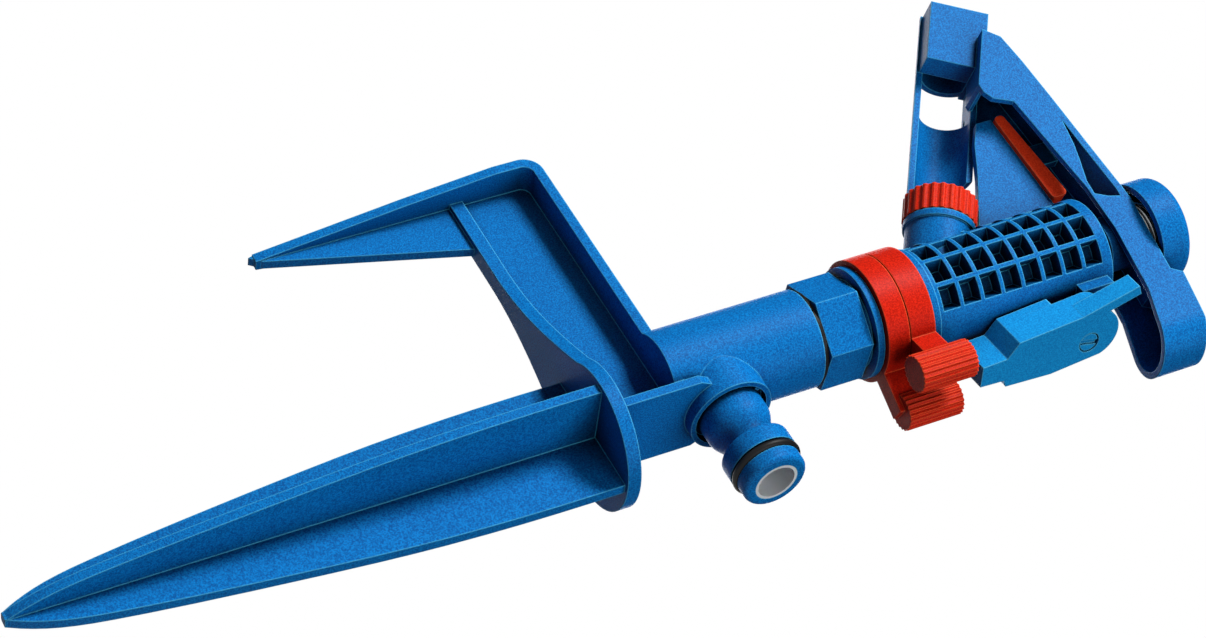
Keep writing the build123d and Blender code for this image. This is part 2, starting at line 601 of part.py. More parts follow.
with BuildPart() as nozzle_nut:
    with BuildSketch(across_jet(NUT_START)):
        with BuildLine():
            ribs = NOZZLE_NUT_RIBS * 4
            Polyline(*[((NOZZLE_NUT_R - (0 if k % 4 < 2 else NUT_RIB_DEPTH)) * cos(radians(360 * k / ribs)),
                        (NOZZLE_NUT_R - (0 if k % 4 < 2 else NUT_RIB_DEPTH)) * sin(radians(360 * k / ribs)))
                       for k in range(ribs)], close=True)
        make_face()
    extrude(amount=NUT_END - NUT_START)
    with BuildSketch(across_jet(NUT_START)):
        Circle(THREAD_R + NUT_FIT)
    extrude(amount=NUT_END - NUT_START - NUT_RIM, mode=Mode.SUBTRACT)
    with BuildSketch(across_jet(NUT_START)):
        Circle(NUT_OPENING_R)
    extrude(amount=NUT_END, mode=Mode.SUBTRACT)
nozzle_nut.part.label = "nozzle_nut"
export_step(nozzle_nut.part, "parts/nozzle_nut.step")

gusset_slope = (GUSSET_TOP[1][1] - GUSSET_TOP[0][1]) / (GUSSET_TOP[1][0] - GUSSET_TOP[0][0])
buffer_foot = [(rho, GUSSET_TOP[0][1] + gusset_slope * (rho - GUSSET_TOP[0][0])) for rho in BUFFER_SPAN]
buffer_end_height = BUFFER_TOP[1] - buffer_foot[1][1]
with BuildPart() as impact_buffer:
    with BuildSketch(head_side()):
        Polygon(*buffer_foot, (BUFFER_SPAN[1], BUFFER_TOP[1]), (BUFFER_SPAN[0], BUFFER_TOP[0]), align=None)
    extrude(amount=BUFFER_REACH, both=True)
    fillet(impact_buffer.edges().filter_by(lambda e: abs((e % 0).dot(YH)) > 0.99),
           min(BUFFER_ROUND, buffer_end_height * ROUND_SHARE))
impact_buffer.part.label = "impact_buffer"
export_step(impact_buffer.part, "parts/impact_buffer.step")

# trip lever and its pin
with BuildPart() as trip_lever:
    with BuildSketch(lever_plane(LEVER_FACE)):
        with BuildLine():
            Polyline(*LEVER_OUTLINE)
            ThreePointArc(LEVER_OUTLINE[-1], LEVER_NOSE, LEVER_OUTLINE[0])
        make_face()
    extrude(amount=LEVER_FACE - LEVER_BACK)
    with BuildSketch(lever_plane(LEVER_BACK)):
        Polygon(*JAW_OUTLINE, align=None)
    extrude(amount=LEVER_BACK - BLOCK_BACK)
    with BuildSketch(lever_plane(LEVER_FACE)):
        Polygon(*TONGUE_OUTLINE, align=None)
    extrude(amount=TONGUE_WIDTH)
    with BuildSketch(lever_plane(LEVER_FACE)):
        with Locations((PIN_T, PIN_Z)):
            Circle(PIN_R + PIN_FIT)
    extrude(amount=LEVER_FACE, mode=Mode.SUBTRACT)
    with BuildSketch(lever_plane(LEVER_FACE)):
        with Locations((PIN_T, PIN_Z)):
            Circle(PIN_HEAD_R + 0.3)
    extrude(amount=PIN_RECESS, mode=Mode.SUBTRACT)
trip_lever.part.label = "trip_lever"
export_step(trip_lever.part, "parts/trip_lever.step")

with BuildPart() as trip_pin:
    with BuildSketch(lever_plane(LEVER_FACE - PIN_SINK)):
        with Locations((PIN_T, PIN_Z)):
            Circle(PIN_R)
    extrude(amount=LEVER_FACE - PIN_SINK - PIN_END)
    with BuildSketch(lever_plane(LEVER_FACE - PIN_SINK)):
        with Locations((PIN_T, PIN_Z)):
            Circle(PIN_HEAD_R)
    extrude(amount=PIN_RECESS - PIN_SINK - 0.05)
    with BuildSketch(lever_plane(LEVER_FACE)):
        with Locations((PIN_T, PIN_Z)):
            Rectangle(PIN_SLOT, PIN_HEAD_R * 2, rotation=12)
    extrude(amount=PIN_SINK + PIN_SLOT_DEPTH, mode=Mode.SUBTRACT)
trip_pin.part.label = "trip_pin"
export_step(trip_pin.part, "parts/trip_pin.step")

# impact arm: a shell open downwards, spoon on one side and counterweight lobe on the other
with BuildPart() as arm_hollow:
    with BuildSketch(head_side()):
        Polygon(*ARM_INSIDE, align=None)
    extrude(amount=ARM_REACH - ARM_WALL, both=True)
    with BuildSketch(Plane(origin=(0, 0, ARM_BLANK_FOOT), x_dir=XH, z_dir=UP)):
        with Locations((LOBE_X, 0)):
            Circle(ARM_REACH - ARM_WALL)
        with Locations(((LOBE_X + ARM_BLANK_END) / 2, 0)):
            Rectangle(ARM_BLANK_END - LOBE_X, (ARM_REACH - ARM_WALL) * 2)
    extrude(amount=ARM_BLANK_RISE, mode=Mode.INTERSECT)

with BuildPart() as impact_arm:
    with BuildSketch(head_side()):
        Polygon(*ARM_OUTSIDE, align=None)
    extrude(amount=ARM_REACH, both=True)
    with BuildSketch(Plane(origin=(0, 0, ARM_BLANK_FOOT), x_dir=XH, z_dir=UP)):
        with Locations((LOBE_X, 0)):
            Circle(ARM_REACH)
        with Locations(((LOBE_X + ARM_BLANK_END) / 2, 0)):
            Rectangle(ARM_BLANK_END - LOBE_X, ARM_REACH * 2)
    extrude(amount=ARM_BLANK_RISE, mode=Mode.INTERSECT)
    add(arm_hollow.part, mode=Mode.SUBTRACT)
    with BuildSketch(head_side(ARM_REACH + 1)):
        Polygon(*ARM_WINDOW, align=None)
    extrude(amount=ARM_WALL + 1.5, mode=Mode.SUBTRACT)
    with BuildSketch(level(HUB_BOTTOM)):
        Circle(HUB_R)
    extrude(amount=HUB_TOP - HUB_BOTTOM)
    with BuildSketch(head_side(LUG_SPAN[1])):
        Polygon(*LUG, align=None)
    extrude(amount=LUG_SPAN[1] - LUG_SPAN[0])
    with BuildSketch(across_jet(TROUGH_START)):
        with Locations((TROUGH_EDGE, 0)):
            Circle(TROUGH_R)
            Circle(TROUGH_R - TROUGH_WALL, mode=Mode.SUBTRACT)
        with Locations((TROUGH_EDGE + TROUGH_R, 0)):
            Rectangle(TROUGH_R * 2, TROUGH_R * 3, mode=Mode.SUBTRACT)
    extrude(amount=SPOON_END - TROUGH_START)
    with BuildSketch(along_jet(0)):
        Polygon((TROUGH_START - 1, -TROUGH_R + 1.0), (TROUGH_START, -TROUGH_R + 1.0), (TROUGH_LIP, TROUGH_R),
                (TROUGH_START - 1, TROUGH_R), align=None)
    extrude(amount=TROUGH_R * 2, mode=Mode.SUBTRACT)
    with BuildSketch(across_jet(SPOON_START)):
        with Locations(((SPOON_FRONT + TROUGH_EDGE) / 2, 0)):
            Rectangle(SPOON_FRONT - TROUGH_EDGE, SPOON_REACH * 2)
    extrude(amount=SPOON_END - SPOON_START)
    with BuildSketch(across_jet(SPOON_START + TROUGH_WALL)):
        with Locations(((SPOON_FRONT - TROUGH_WALL + TROUGH_EDGE) / 2 - 1, 0)):
            Rectangle(SPOON_FRONT - TROUGH_WALL - TROUGH_EDGE + 2, (SPOON_REACH - TROUGH_WALL) * 2)
    extrude(amount=SPOON_END - SPOON_START, mode=Mode.SUBTRACT)
    with BuildSketch(across_jet(WINDOW[0])):
        with Locations((TROUGH_EDGE - 6.1, 0)):
            Rectangle(12, WINDOW_REACH * 2)
    extrude(amount=WINDOW[1] - WINDOW[0], mode=Mode.SUBTRACT)
    with BuildSketch(level(HUB_BOTTOM - 1)):
        Circle(BUSH_R)
    extrude(amount=20, mode=Mode.SUBTRACT)
impact_arm.part.label = "impact_arm"
export_step(impact_arm.part, "parts/impact_arm.step")

with BuildPart() as arm_bush:
    with BuildSketch(level(HUB_BOTTOM)):
        Circle(BUSH_R)
        Circle(SHAFT_R + BUSH_FIT, mode=Mode.SUBTRACT)
    extrude(amount=HUB_TOP - HUB_BOTTOM)
arm_bush.part.label = "arm_bush"
export_step(arm_bush.part, "parts/arm_bush.step")

with BuildPart() as arm_washer:
    with BuildSketch(level(POST_TOP)):
        Circle(BUSH_R + 1)
        Circle(SHAFT_R, mode=Mode.SUBTRACT)
    extrude(amount=HUB_BOTTOM - POST_TOP - BODY_GAP)
arm_washer.part.label = "arm_washer"
export_step(arm_washer.part, "parts/arm_washer.step")

with BuildPart() as arm_shaft:
    with BuildSketch(level(SHAFT_BOTTOM)):
        Circle(SHAFT_R)
    extrude(amount=SHAFT_TOP - SHAFT_BOTTOM)
arm_shaft.part.label = "arm_shaft"
export_step(arm_shaft.part, "parts/arm_shaft.step")

with BuildPart() as arm_spring:
    with BuildLine() as coil:
        rise = CAP_TOP - CAP_WALL - HUB_TOP - BODY_GAP - SPRING_WIRE
        Helix(pitch=rise / SPRING_TURNS, height=rise, radius=ARM_SPRING_R,
              center=(0, 0, HUB_TOP + BODY_GAP + SPRING_WIRE / 2))
    with BuildSketch(Plane(origin=coil.line @ 0, z_dir=coil.line % 0)):
        Circle(SPRING_WIRE / 2)
    sweep()
arm_spring.part.label = "arm_spring"
export_step(arm_spring.part, "parts/arm_spring.step")

with BuildPart() as spring_cap:
    with BuildSketch(level(CAP_BOTTOM)):
        Circle(CAP_R)
    extrude(amount=CAP_TOP - CAP_BOTTOM)
    fillet(spring_cap.edges().sort_by(Axis.Z)[-1], CAP_ROUND)
    with BuildSketch(level(CAP_BOTTOM)):
        Circle(CAP_R - CAP_WALL)
        Circle(CAP_BOSS_R, mode=Mode.SUBTRACT)
    extrude(amount=CAP_TOP - CAP_BOTTOM - CAP_WALL, mode=Mode.SUBTRACT)
    with BuildSketch(level(CAP_BOTTOM)):
        Circle(SHAFT_R)
    extrude(amount=SHAFT_TOP - CAP_BOTTOM, mode=Mode.SUBTRACT)
spring_cap.part.label = "spring_cap"
export_step(spring_cap.part, "parts/spring_cap.step")
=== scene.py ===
"""Dresses the spike impact sprinkler: moulded plastics, rubber, steel and brass, on a pale stage."""

import bpy
import numpy as np
from bpy.props import FloatProperty, FloatVectorProperty, IntProperty, PointerProperty, StringProperty
from mathutils import Matrix, Vector


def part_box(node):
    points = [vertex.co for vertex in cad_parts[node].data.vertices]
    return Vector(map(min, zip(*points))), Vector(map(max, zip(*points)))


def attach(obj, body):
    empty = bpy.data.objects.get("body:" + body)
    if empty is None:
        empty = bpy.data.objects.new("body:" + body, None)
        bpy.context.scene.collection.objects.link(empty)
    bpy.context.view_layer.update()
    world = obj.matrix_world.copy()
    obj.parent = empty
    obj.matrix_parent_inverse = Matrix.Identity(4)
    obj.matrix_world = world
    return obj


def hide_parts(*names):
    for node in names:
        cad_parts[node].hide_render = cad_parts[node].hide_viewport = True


bl_info = {
    "name": "Spike Sprinkler Dresser",
    "version": (1, 0, 0),
    "blender": (4, 5, 0),
    "location": "View3D > Sidebar > Sprinkler",
    "description": "Gives a packed spike sprinkler its coils, seals, finishes and studio stage",
    "category": "Object",
}

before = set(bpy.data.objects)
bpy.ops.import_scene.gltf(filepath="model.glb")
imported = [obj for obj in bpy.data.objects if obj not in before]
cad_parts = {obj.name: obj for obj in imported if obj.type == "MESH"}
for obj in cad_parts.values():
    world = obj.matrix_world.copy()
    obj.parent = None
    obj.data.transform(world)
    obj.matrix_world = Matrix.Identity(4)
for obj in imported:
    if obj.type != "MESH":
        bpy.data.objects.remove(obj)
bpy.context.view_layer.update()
MM = 0.001

# each lamp's direction from the object, its distance and its width, in metres
LAMPS = {
    "key": ((0.18, 0.80, 0.55), 2.5, 0.7),
    "fill": ((-0.90, 0.30, 0.20), 2.0, 1.6),
    "back": ((0.60, -0.75, 0.30), 2.0, 1.6),
}
# the place on the turning axis that the lamps point at
LAMP_AIM = (0, 0, 0.04)
# the camera's sensor in millimetres
SENSOR_WIDTH = 36.0
# how far the camera sees, and half the floor's width, in metres
VIEW_DEPTH = 20.0
FLOOR_HALF_WIDTH = 6.0

# finishes that the new pieces share with the CAD nodes
BLUE_PLASTIC = "blue_moulded_polypropylene"
SPRING_STEEL = "drawn_spring_steel"

# the share of its average rise that a coil loses at its two ends
END_EASE = 0.6
WIRE_SIDES = 12
# edges of a turned piece that bend by more than this many degrees stay sharp
SHARP_BEND = 30


class StageSettings(bpy.types.PropertyGroup):
    """Where the camera and the floor are, and how bright the lamps and the surroundings are."""
    eye: FloatVectorProperty(name="Eye", description="Camera position", subtype="TRANSLATION", unit="LENGTH",
                             default=(-0.4378, 0.5775, -0.2836), size=3)
    right: FloatVectorProperty(name="Right", description="Direction to the image's right", size=3,
                               default=(-0.449, 0.107, 0.887))
    up: FloatVectorProperty(name="Up", description="Direction to the image's top", size=3,
                            default=(0.682, 0.682, 0.263))
    lens: FloatProperty(name="Lens", description="Focal length in mm on a 36 mm wide sensor", default=100.15)
    key: FloatProperty(name="Key", description="Power of the key lamp", unit="POWER", default=82.0)
    fill: FloatProperty(name="Fill", description="Power of the fill lamp", unit="POWER", default=26.0)
    back: FloatProperty(name="Back", description="Power of the lamp behind the object", unit="POWER",
                        default=40.0)
    sky: FloatProperty(name="Sky", description="Strength of the world light on the object", default=0.05)
    gloss: FloatProperty(name="Gloss", description="Strength of the world as glossy rays see it",
                         default=0.15)
    floor_z: FloatProperty(name="Floor", description="Height of the floor", unit="LENGTH", default=-0.1425)


class FinishSettings(bpy.types.PropertyGroup):
    """Colours of the finishes, as sRGB hex."""
    # each edge colour is a painted highlight that the plastic's corners turn to
    blue: StringProperty(name="Blue", description="Blue moulded plastic", default="0A82D0")
    blue_dark: StringProperty(name="Blue dark", description="Dark of the blue grain", default="044A8E")
    blue_edge_highlight: StringProperty(name="Blue edge", description="Corners of the blue plastic", default="54C2EE")
    pale_blue: StringProperty(name="Pale blue", description="Trip lever plastic", default="18A0E6")
    pale_blue_dark: StringProperty(name="Pale blue dark", description="Dark of the pale blue grain",
                                   default="0C78C0")
    pale_blue_edge_highlight: StringProperty(name="Pale blue edge", description="Corners of the pale blue plastic",
                                   default="62CCF0")
    red: StringProperty(name="Red", description="Orange red moulded plastic", default="E22812")
    red_dark: StringProperty(name="Red dark", description="Dark of the red grain", default="A81406")
    red_edge_highlight: StringProperty(name="Red edge", description="Corners of the red plastic", default="FF6438")
    # painted light: the buffer's colours are lighter than the red plastic's, to brighten a bar that lies in
    # the arm's shadow; the finish is also taken as a softer elastomer
    buffer: StringProperty(name="Buffer", description="Orange red elastomer", default="FF4A24")
    buffer_dark: StringProperty(name="Buffer dark", description="Dark of the buffer's grain",
                                default="E0300F")
    buffer_edge_highlight: StringProperty(name="Buffer edge", description="Corners of the buffer", default="FF7A4C")
    rubber: StringProperty(name="Rubber", description="Black seal rubber", default="08080A")
    rubber_bloom: StringProperty(name="Rubber bloom", description="Dusty bloom on the rubber",
                                 default="2A2A2E")
    white: StringProperty(name="White", description="Natural white acetal", default="E4E8EC")
    white_shade: StringProperty(name="White shade", description="Darker clouds in the acetal",
                                default="BFC6CE")
    steel: StringProperty(name="Steel", description="Drawn spring steel", default="B4B8BC")
    steel_dark: StringProperty(name="Steel dark", description="Stains on the steel", default="8C9094")
    brass: StringProperty(name="Brass", description="Turned brass", default="C6A35C")
    brass_dark: StringProperty(name="Brass dark", description="Stains on the brass", default="A07F40")
    board: StringProperty(name="Board", description="Pale studio board", default="F2F2F0")


class CoilSettings(bpy.types.PropertyGroup):
    """Wire and turns of the two springs."""
    wire: FloatProperty(name="Wire", description="Wire diameter", unit="LENGTH", default=1.2 * MM)
    turns: FloatProperty(name="Turns", description="Number of turns", default=4.5)
    steps: IntProperty(name="Steps", description="Points along one turn", default=48)


class NippleSettings(bpy.types.PropertyGroup):
    """Radii of the hose nipple, and where they change, from its root towards its mouth."""
    plug: FloatProperty(name="Plug", description="Radius in the socket", unit="LENGTH", default=7.4 * MM)
    foot: FloatProperty(name="Foot", description="Radius of the foot", unit="LENGTH", default=8.1 * MM)
    waist: FloatProperty(name="Waist", description="Radius of the waist", unit="LENGTH", default=5.5 * MM)
    collar: FloatProperty(name="Collar", description="Radius of the collar", unit="LENGTH", default=8.7 * MM)
    groove: FloatProperty(name="Groove", description="Radius of the seal groove", unit="LENGTH",
                          default=6.9 * MM)
    nose: FloatProperty(name="Nose", description="Radius of the nose", unit="LENGTH", default=8.1 * MM)
    liner: FloatProperty(name="Liner seat", description="Radius of the bore around the liner", unit="LENGTH",
                         default=5.4 * MM)
    bore: FloatProperty(name="Bore", description="Radius of the bore", unit="LENGTH", default=4.7 * MM)
    shoulder: FloatProperty(name="Shoulder", description="Where the plug ends and the foot starts",
                            unit="LENGTH", default=3.3 * MM)
    cone_start: FloatProperty(name="Cone start", description="Where the foot starts to narrow",
                              unit="LENGTH", default=9.0 * MM)
    cone_end: FloatProperty(name="Cone end", description="Where the cone reaches the waist",
                            unit="LENGTH", default=16.2 * MM)
    collar_start: FloatProperty(name="Collar start", description="Where the collar has its full radius",
                                unit="LENGTH", default=17.6 * MM)
    waist_run: FloatProperty(name="Waist run", description="Length of the straight waist", unit="LENGTH",
                             default=0.2 * MM)
    collar_round: FloatProperty(name="Collar round", description="Radius of the collar's rounded edge",
                                unit="LENGTH", default=0.7 * MM)
    nose_round: FloatProperty(name="Nose round", description="Radius of the nose's rounded edge",
                              unit="LENGTH", default=1.4 * MM)
    seal_play: FloatProperty(name="Seal play", description="Room between the seal and its groove's sides",
                             unit="LENGTH", default=0.1 * MM)
    cone_steps: IntProperty(name="Cone steps", description="Points along the cone", default=14)
    steps: IntProperty(name="Steps", description="Points around", default=96)


def linear(code):
    """sRGB hex to linear colour: each channel is divided by 12.92 up to 0.04045, and above it
    is ((channel + 0.055) / 1.055) to the power of 2.4."""
    channels = np.array([int(code[i:i + 2], 16) for i in (0, 2, 4)]) / 255.0
    channels = np.where(channels <= 0.04045, channels / 12.92, ((channels + 0.055) / 1.055) ** 2.4)
    return (*channels.tolist(), 1.0)


def add_node(tree, kind, sockets=None, **settings):
    """Adds a node with its settings. A socket given an output is linked, any other value is set."""
    node = tree.nodes.new(kind)
    for name, value in settings.items():
        setattr(node, name, value)
    for name, value in (sockets or {}).items():
        if isinstance(value, bpy.types.NodeSocket):
            tree.links.new(value, node.inputs[name])
        else:
            node.inputs[name].default_value = value
    return node


def new_material(name):
    """A material without nodes, and its node tree."""
    material = bpy.data.materials.new(name)
    material.use_nodes = True
    material.node_tree.nodes.clear()
    return material, material.node_tree


def moulded_plastic(name, body, dark, edge, rough, pocket_share_under_painted_shade):
    """Injection-moulded polypropylene or elastomer from a spark-eroded tool: an even fine grain from
    body to dark, faint clouds in the pigment, and a painted highlight that turns small corners to
    the edge tone. Narrow pockets get painted shade from ambient occlusion, and the last argument
    is the share of the colour that is left deep in a pocket."""
    cloud_width = 25 * MM
    # the real grain of about 0.1 mm is too fine to show, so it is drawn coarser
    grain_width = 0.38 * MM
    grain_height = 0.12 * MM
    painted_shade_reach = 13 * MM
    corner_radius = 0.5 * MM
    cloud_share = 0.25
    grain_share = 0.75
    material, tree = new_material(name)
    place = add_node(tree, "ShaderNodeTexCoord").outputs["Object"]
    cloud = add_node(tree, "ShaderNodeTexNoise", {"Vector": place, "Scale": 1 / cloud_width, "Detail": 3.0})
    grain = add_node(tree, "ShaderNodeTexNoise",
                     {"Vector": place, "Scale": 1 / grain_width, "Detail": 2.0, "Roughness": 0.6})
    # only the middle of the noise is used, so that light and dark specks stand apart
    speck = add_node(tree, "ShaderNodeMapRange",
                     {"Value": grain.outputs["Fac"], "From Min": 0.38, "From Max": 0.62})
    tone = add_node(tree, "ShaderNodeMath", {0: cloud.outputs["Fac"], 1: cloud_share}, operation="MULTIPLY")
    tone = add_node(tree, "ShaderNodeMath",
                    {0: speck.outputs["Result"], 1: grain_share, 2: tone.outputs[0]},
                    operation="MULTIPLY_ADD")
    colour = add_node(tree, "ShaderNodeMix",
                      {"Factor": tone.outputs[0], "A": linear(body), "B": linear(dark)}, data_type="RGBA")
    # painted shade: narrow pockets are darkened by ambient occlusion, in place of the shade that falls in a
    # deep cell
    painted_pocket_shade = add_node(tree, "ShaderNodeAmbientOcclusion", {"Distance": painted_shade_reach}, samples=6)
    shade = add_node(tree, "ShaderNodeMapRange",
                     {"Value": painted_pocket_shade.outputs["AO"], "From Min": 0.25, "From Max": 0.82,
                      "To Min": pocket_share_under_painted_shade})
    colour = add_node(tree, "ShaderNodeVectorMath", {0: colour.outputs["Result"]}, operation="SCALE")
    tree.links.new(shade.outputs["Result"], colour.inputs["Scale"])
    # painted highlight: where the rounded corner's normal leaves the flat one, the colour turns to the
    # lighter edge tone, as a corner that catches the light
    corner = add_node(tree, "ShaderNodeBevel", {"Radius": corner_radius}, samples=6)
    flat = add_node(tree, "ShaderNodeNewGeometry").outputs["Normal"]
    bend = add_node(tree, "ShaderNodeVectorMath", {0: corner.outputs[0], 1: flat}, operation="DOT_PRODUCT")
    painted_highlight = add_node(tree, "ShaderNodeMapRange",
                    {"Value": bend.outputs["Value"], "From Min": 0.995, "From Max": 0.86, "To Max": 0.8})
    colour = add_node(tree, "ShaderNodeMix",
                      {"Factor": painted_highlight.outputs["Result"], "A": colour.outputs["Vector"], "B": linear(edge)},
                      data_type="RGBA")
    bump = add_node(tree, "ShaderNodeBump",
                    {"Height": grain.outputs["Fac"], "Strength": 0.35, "Distance": grain_height,
                     "Normal": corner.outputs[0]})
    skin = add_node(tree, "ShaderNodeBsdfPrincipled",
                    {"Base Color": colour.outputs["Result"], "Roughness": rough, "IOR": 1.49,
                     "Specular IOR Level": 0.05, "Normal": bump.outputs[0]})
    add_node(tree, "ShaderNodeOutputMaterial", {"Surface": skin.outputs[0]})
    return material


def seal_rubber(name, body, bloom_tone):
    """Moulded nitrile rubber: deep black with a dull sheen and a faint dusty bloom in patches."""
    bloom_width = 2.0 * MM
    bloom_height = 0.05 * MM
    material, tree = new_material(name)
    place = add_node(tree, "ShaderNodeTexCoord").outputs["Object"]
    bloom = add_node(tree, "ShaderNodeTexNoise", {"Vector": place, "Scale": 1 / bloom_width, "Detail": 4.0})
    fade = add_node(tree, "ShaderNodeMapRange", {"Value": bloom.outputs["Fac"], "To Max": 0.15})
    colour = add_node(tree, "ShaderNodeMix",
                      {"Factor": fade.outputs["Result"], "A": linear(body), "B": linear(bloom_tone)},
                      data_type="RGBA")
    bump = add_node(tree, "ShaderNodeBump",
                    {"Height": bloom.outputs["Fac"], "Strength": 0.2, "Distance": bloom_height})
    skin = add_node(tree, "ShaderNodeBsdfPrincipled",
                    {"Base Color": colour.outputs["Result"], "Roughness": 0.5, "Specular IOR Level": 0.2,
                     "Normal": bump.outputs[0]})
    add_node(tree, "ShaderNodeOutputMaterial", {"Surface": skin.outputs[0]})
    return material


def white_acetal(name, body, shade):
    """Machined natural acetal: milky, smooth and slightly waxy, with small faint clouds."""
    cloud_width = 1.5 * MM
    cloud_height = 0.05 * MM
    light_reach = 1.0 * MM
    material, tree = new_material(name)
    place = add_node(tree, "ShaderNodeTexCoord").outputs["Object"]
    cloud = add_node(tree, "ShaderNodeTexNoise", {"Vector": place, "Scale": 1 / cloud_width, "Detail": 2.0})
    fade = add_node(tree, "ShaderNodeMapRange", {"Value": cloud.outputs["Fac"], "To Max": 0.25})
    colour = add_node(tree, "ShaderNodeMix",
                      {"Factor": fade.outputs["Result"], "A": linear(body), "B": linear(shade)},
                      data_type="RGBA")
    bump = add_node(tree, "ShaderNodeBump",
                    {"Height": cloud.outputs["Fac"], "Strength": 0.15, "Distance": cloud_height})
    skin = add_node(tree, "ShaderNodeBsdfPrincipled",
                    {"Base Color": colour.outputs["Result"], "Roughness": 0.32, "Normal": bump.outputs[0],
                     "Subsurface Weight": 0.1, "Subsurface Scale": light_reach})
    add_node(tree, "ShaderNodeOutputMaterial", {"Surface": skin.outputs[0]})
    return material


def drawn_metal(name, body, dark, rough):
    """Drawn or turned metal: level lines round the upright axis, a soft uneven gloss and faint
    stains. The lines lie about 0.4 mm apart, because the real ones are too fine to show."""
    # the wave pattern has about three lines to its unit
    wave_unit = 1.2 * MM
    line_height = 0.02 * MM
    stain_width = 4 * MM
    smoothest = rough - 0.06
    roughest = rough + 0.08
    material, tree = new_material(name)
    place = add_node(tree, "ShaderNodeTexCoord").outputs["Object"]
    lines = add_node(tree, "ShaderNodeTexWave",
                     {"Vector": place, "Scale": 1 / wave_unit, "Distortion": 1.5, "Detail": 2.0},
                     wave_type="BANDS", bands_direction="Z")
    stain = add_node(tree, "ShaderNodeTexNoise", {"Vector": place, "Scale": 1 / stain_width, "Detail": 3.0})
    colour = add_node(tree, "ShaderNodeMix",
                      {"Factor": stain.outputs["Fac"], "A": linear(body), "B": linear(dark)},
                      data_type="RGBA")
    gloss = add_node(tree, "ShaderNodeMapRange",
                     {"Value": lines.outputs["Fac"], "To Min": smoothest, "To Max": roughest})
    bump = add_node(tree, "ShaderNodeBump",
                    {"Height": lines.outputs["Fac"], "Strength": 0.1, "Distance": line_height})
    skin = add_node(tree, "ShaderNodeBsdfPrincipled",
                    {"Base Color": colour.outputs["Result"], "Metallic": 1.0,
                     "Roughness": gloss.outputs["Result"], "Normal": bump.outputs[0]})
    add_node(tree, "ShaderNodeOutputMaterial", {"Surface": skin.outputs[0]})
    return material


def studio_board(name, tone):
    """Matt pale studio board, seen from above only, so that the view from below shows the backdrop.
    Most of its light is its own, which keeps it pale, and the rest shows the object's shadow."""
    glow_share = 0.9
    material, tree = new_material(name)
    matt = add_node(tree, "ShaderNodeBsdfDiffuse", {"Color": linear(tone)})
    glow = add_node(tree, "ShaderNodeEmission", {"Color": linear(tone), "Strength": 1.0})
    board = add_node(tree, "ShaderNodeMixShader", {0: glow_share, 1: matt.outputs[0], 2: glow.outputs[0]})
    clear = add_node(tree, "ShaderNodeBsdfTransparent")
    underside = add_node(tree, "ShaderNodeNewGeometry").outputs["Backfacing"]
    mix = add_node(tree, "ShaderNodeMixShader", {0: underside, 1: board.outputs[0], 2: clear.outputs[0]})
    add_node(tree, "ShaderNodeOutputMaterial", {"Surface": mix.outputs[0]})
    return material


def paint(material, *nodes):
    """Gives CAD nodes one material in place of those they came with."""
    for name in nodes:
        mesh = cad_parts[name].data
        mesh.materials.clear()
        mesh.materials.append(material)


def add_object(name, data):
    """A new object in the scene, at the origin."""
    thing = bpy.data.objects.new(name, data)
    bpy.context.scene.collection.objects.link(thing)
    return thing


def grid_mesh(name, points, closed_along, material):
    """A grid of points (along, around, xyz) as smooth quads. It closes around, and along too where
    closed_along is true. Otherwise a flat face closes each end."""
    rows, cols = points.shape[:2]
    index = np.arange(rows * cols).reshape(rows, cols)
    grid = np.vstack([index, index[:1]]) if closed_along else index
    grid = np.hstack([grid, grid[:, :1]])
    quads = np.stack([grid[:-1, :-1], grid[:-1, 1:], grid[1:, 1:], grid[1:, :-1]], axis=-1)
    faces = quads.reshape(-1, 4).tolist()
    if not closed_along:
        faces += [index[0, ::-1].tolist(), index[-1].tolist()]
    mesh = bpy.data.meshes.new(name)
    mesh.from_pydata(points.reshape(-1, 3).tolist(), [], faces)
    mesh.polygons.foreach_set("use_smooth", np.ones(len(faces), bool))
    mesh.materials.append(material)
    return add_object(name, mesh)


def coil_points(low, high, radius, wire, turns, steps):
    """A round wire on a helix, as points (along, around, xyz). For t from 0 to 1 the angle is
    2 pi * turns * t and the height is low + wire / 2 + rise * (t - END_EASE * sin(2 pi t) / (2 pi)),
    where rise is high - low - wire. It rises slower near both ends, so the end turns lie closer."""
    t = np.linspace(0, 1, int(turns * steps))
    angle = 2 * np.pi * turns * t
    z = low + wire / 2 + (high - low - wire) * (t - END_EASE * np.sin(2 * np.pi * t) / (2 * np.pi))
    path = np.stack([radius * np.cos(angle), radius * np.sin(angle), z], axis=1)
    tangent = np.gradient(path, axis=0)
    tangent /= np.linalg.norm(tangent, axis=1, keepdims=True)
    # the wire's section is square to its path: out points away from the axis, side across it
    out = path * [1, 1, 0]
    out /= np.linalg.norm(out, axis=1, keepdims=True)
    out -= tangent * np.sum(out * tangent, axis=1, keepdims=True)
    out /= np.linalg.norm(out, axis=1, keepdims=True)
    side = np.cross(tangent, out)
    ring = np.linspace(0, 2 * np.pi, WIRE_SIDES, endpoint=False)
    section = np.cos(ring)[None, :, None] * out[:, None] + np.sin(ring)[None, :, None] * side[:, None]
    return path[:, None] + wire / 2 * section


def rounded(start, end, along_first, count=6):
    """A quarter round in count points of (distance, radius), for an angle a from 0 to 90 degrees.
    It is start + (end - start) * (sin a, 1 - cos a) where it leaves start along the axis, and
    start + (end - start) * (1 - cos a, sin a) where it leaves start across the axis."""
    a = np.linspace(0, np.pi / 2, count)
    fast = np.sin(a)
    slow = 1 - np.cos(a)
    share = np.stack([fast, slow] if along_first else [slow, fast], axis=1)
    return np.array(start) + (np.array(end) - start) * share


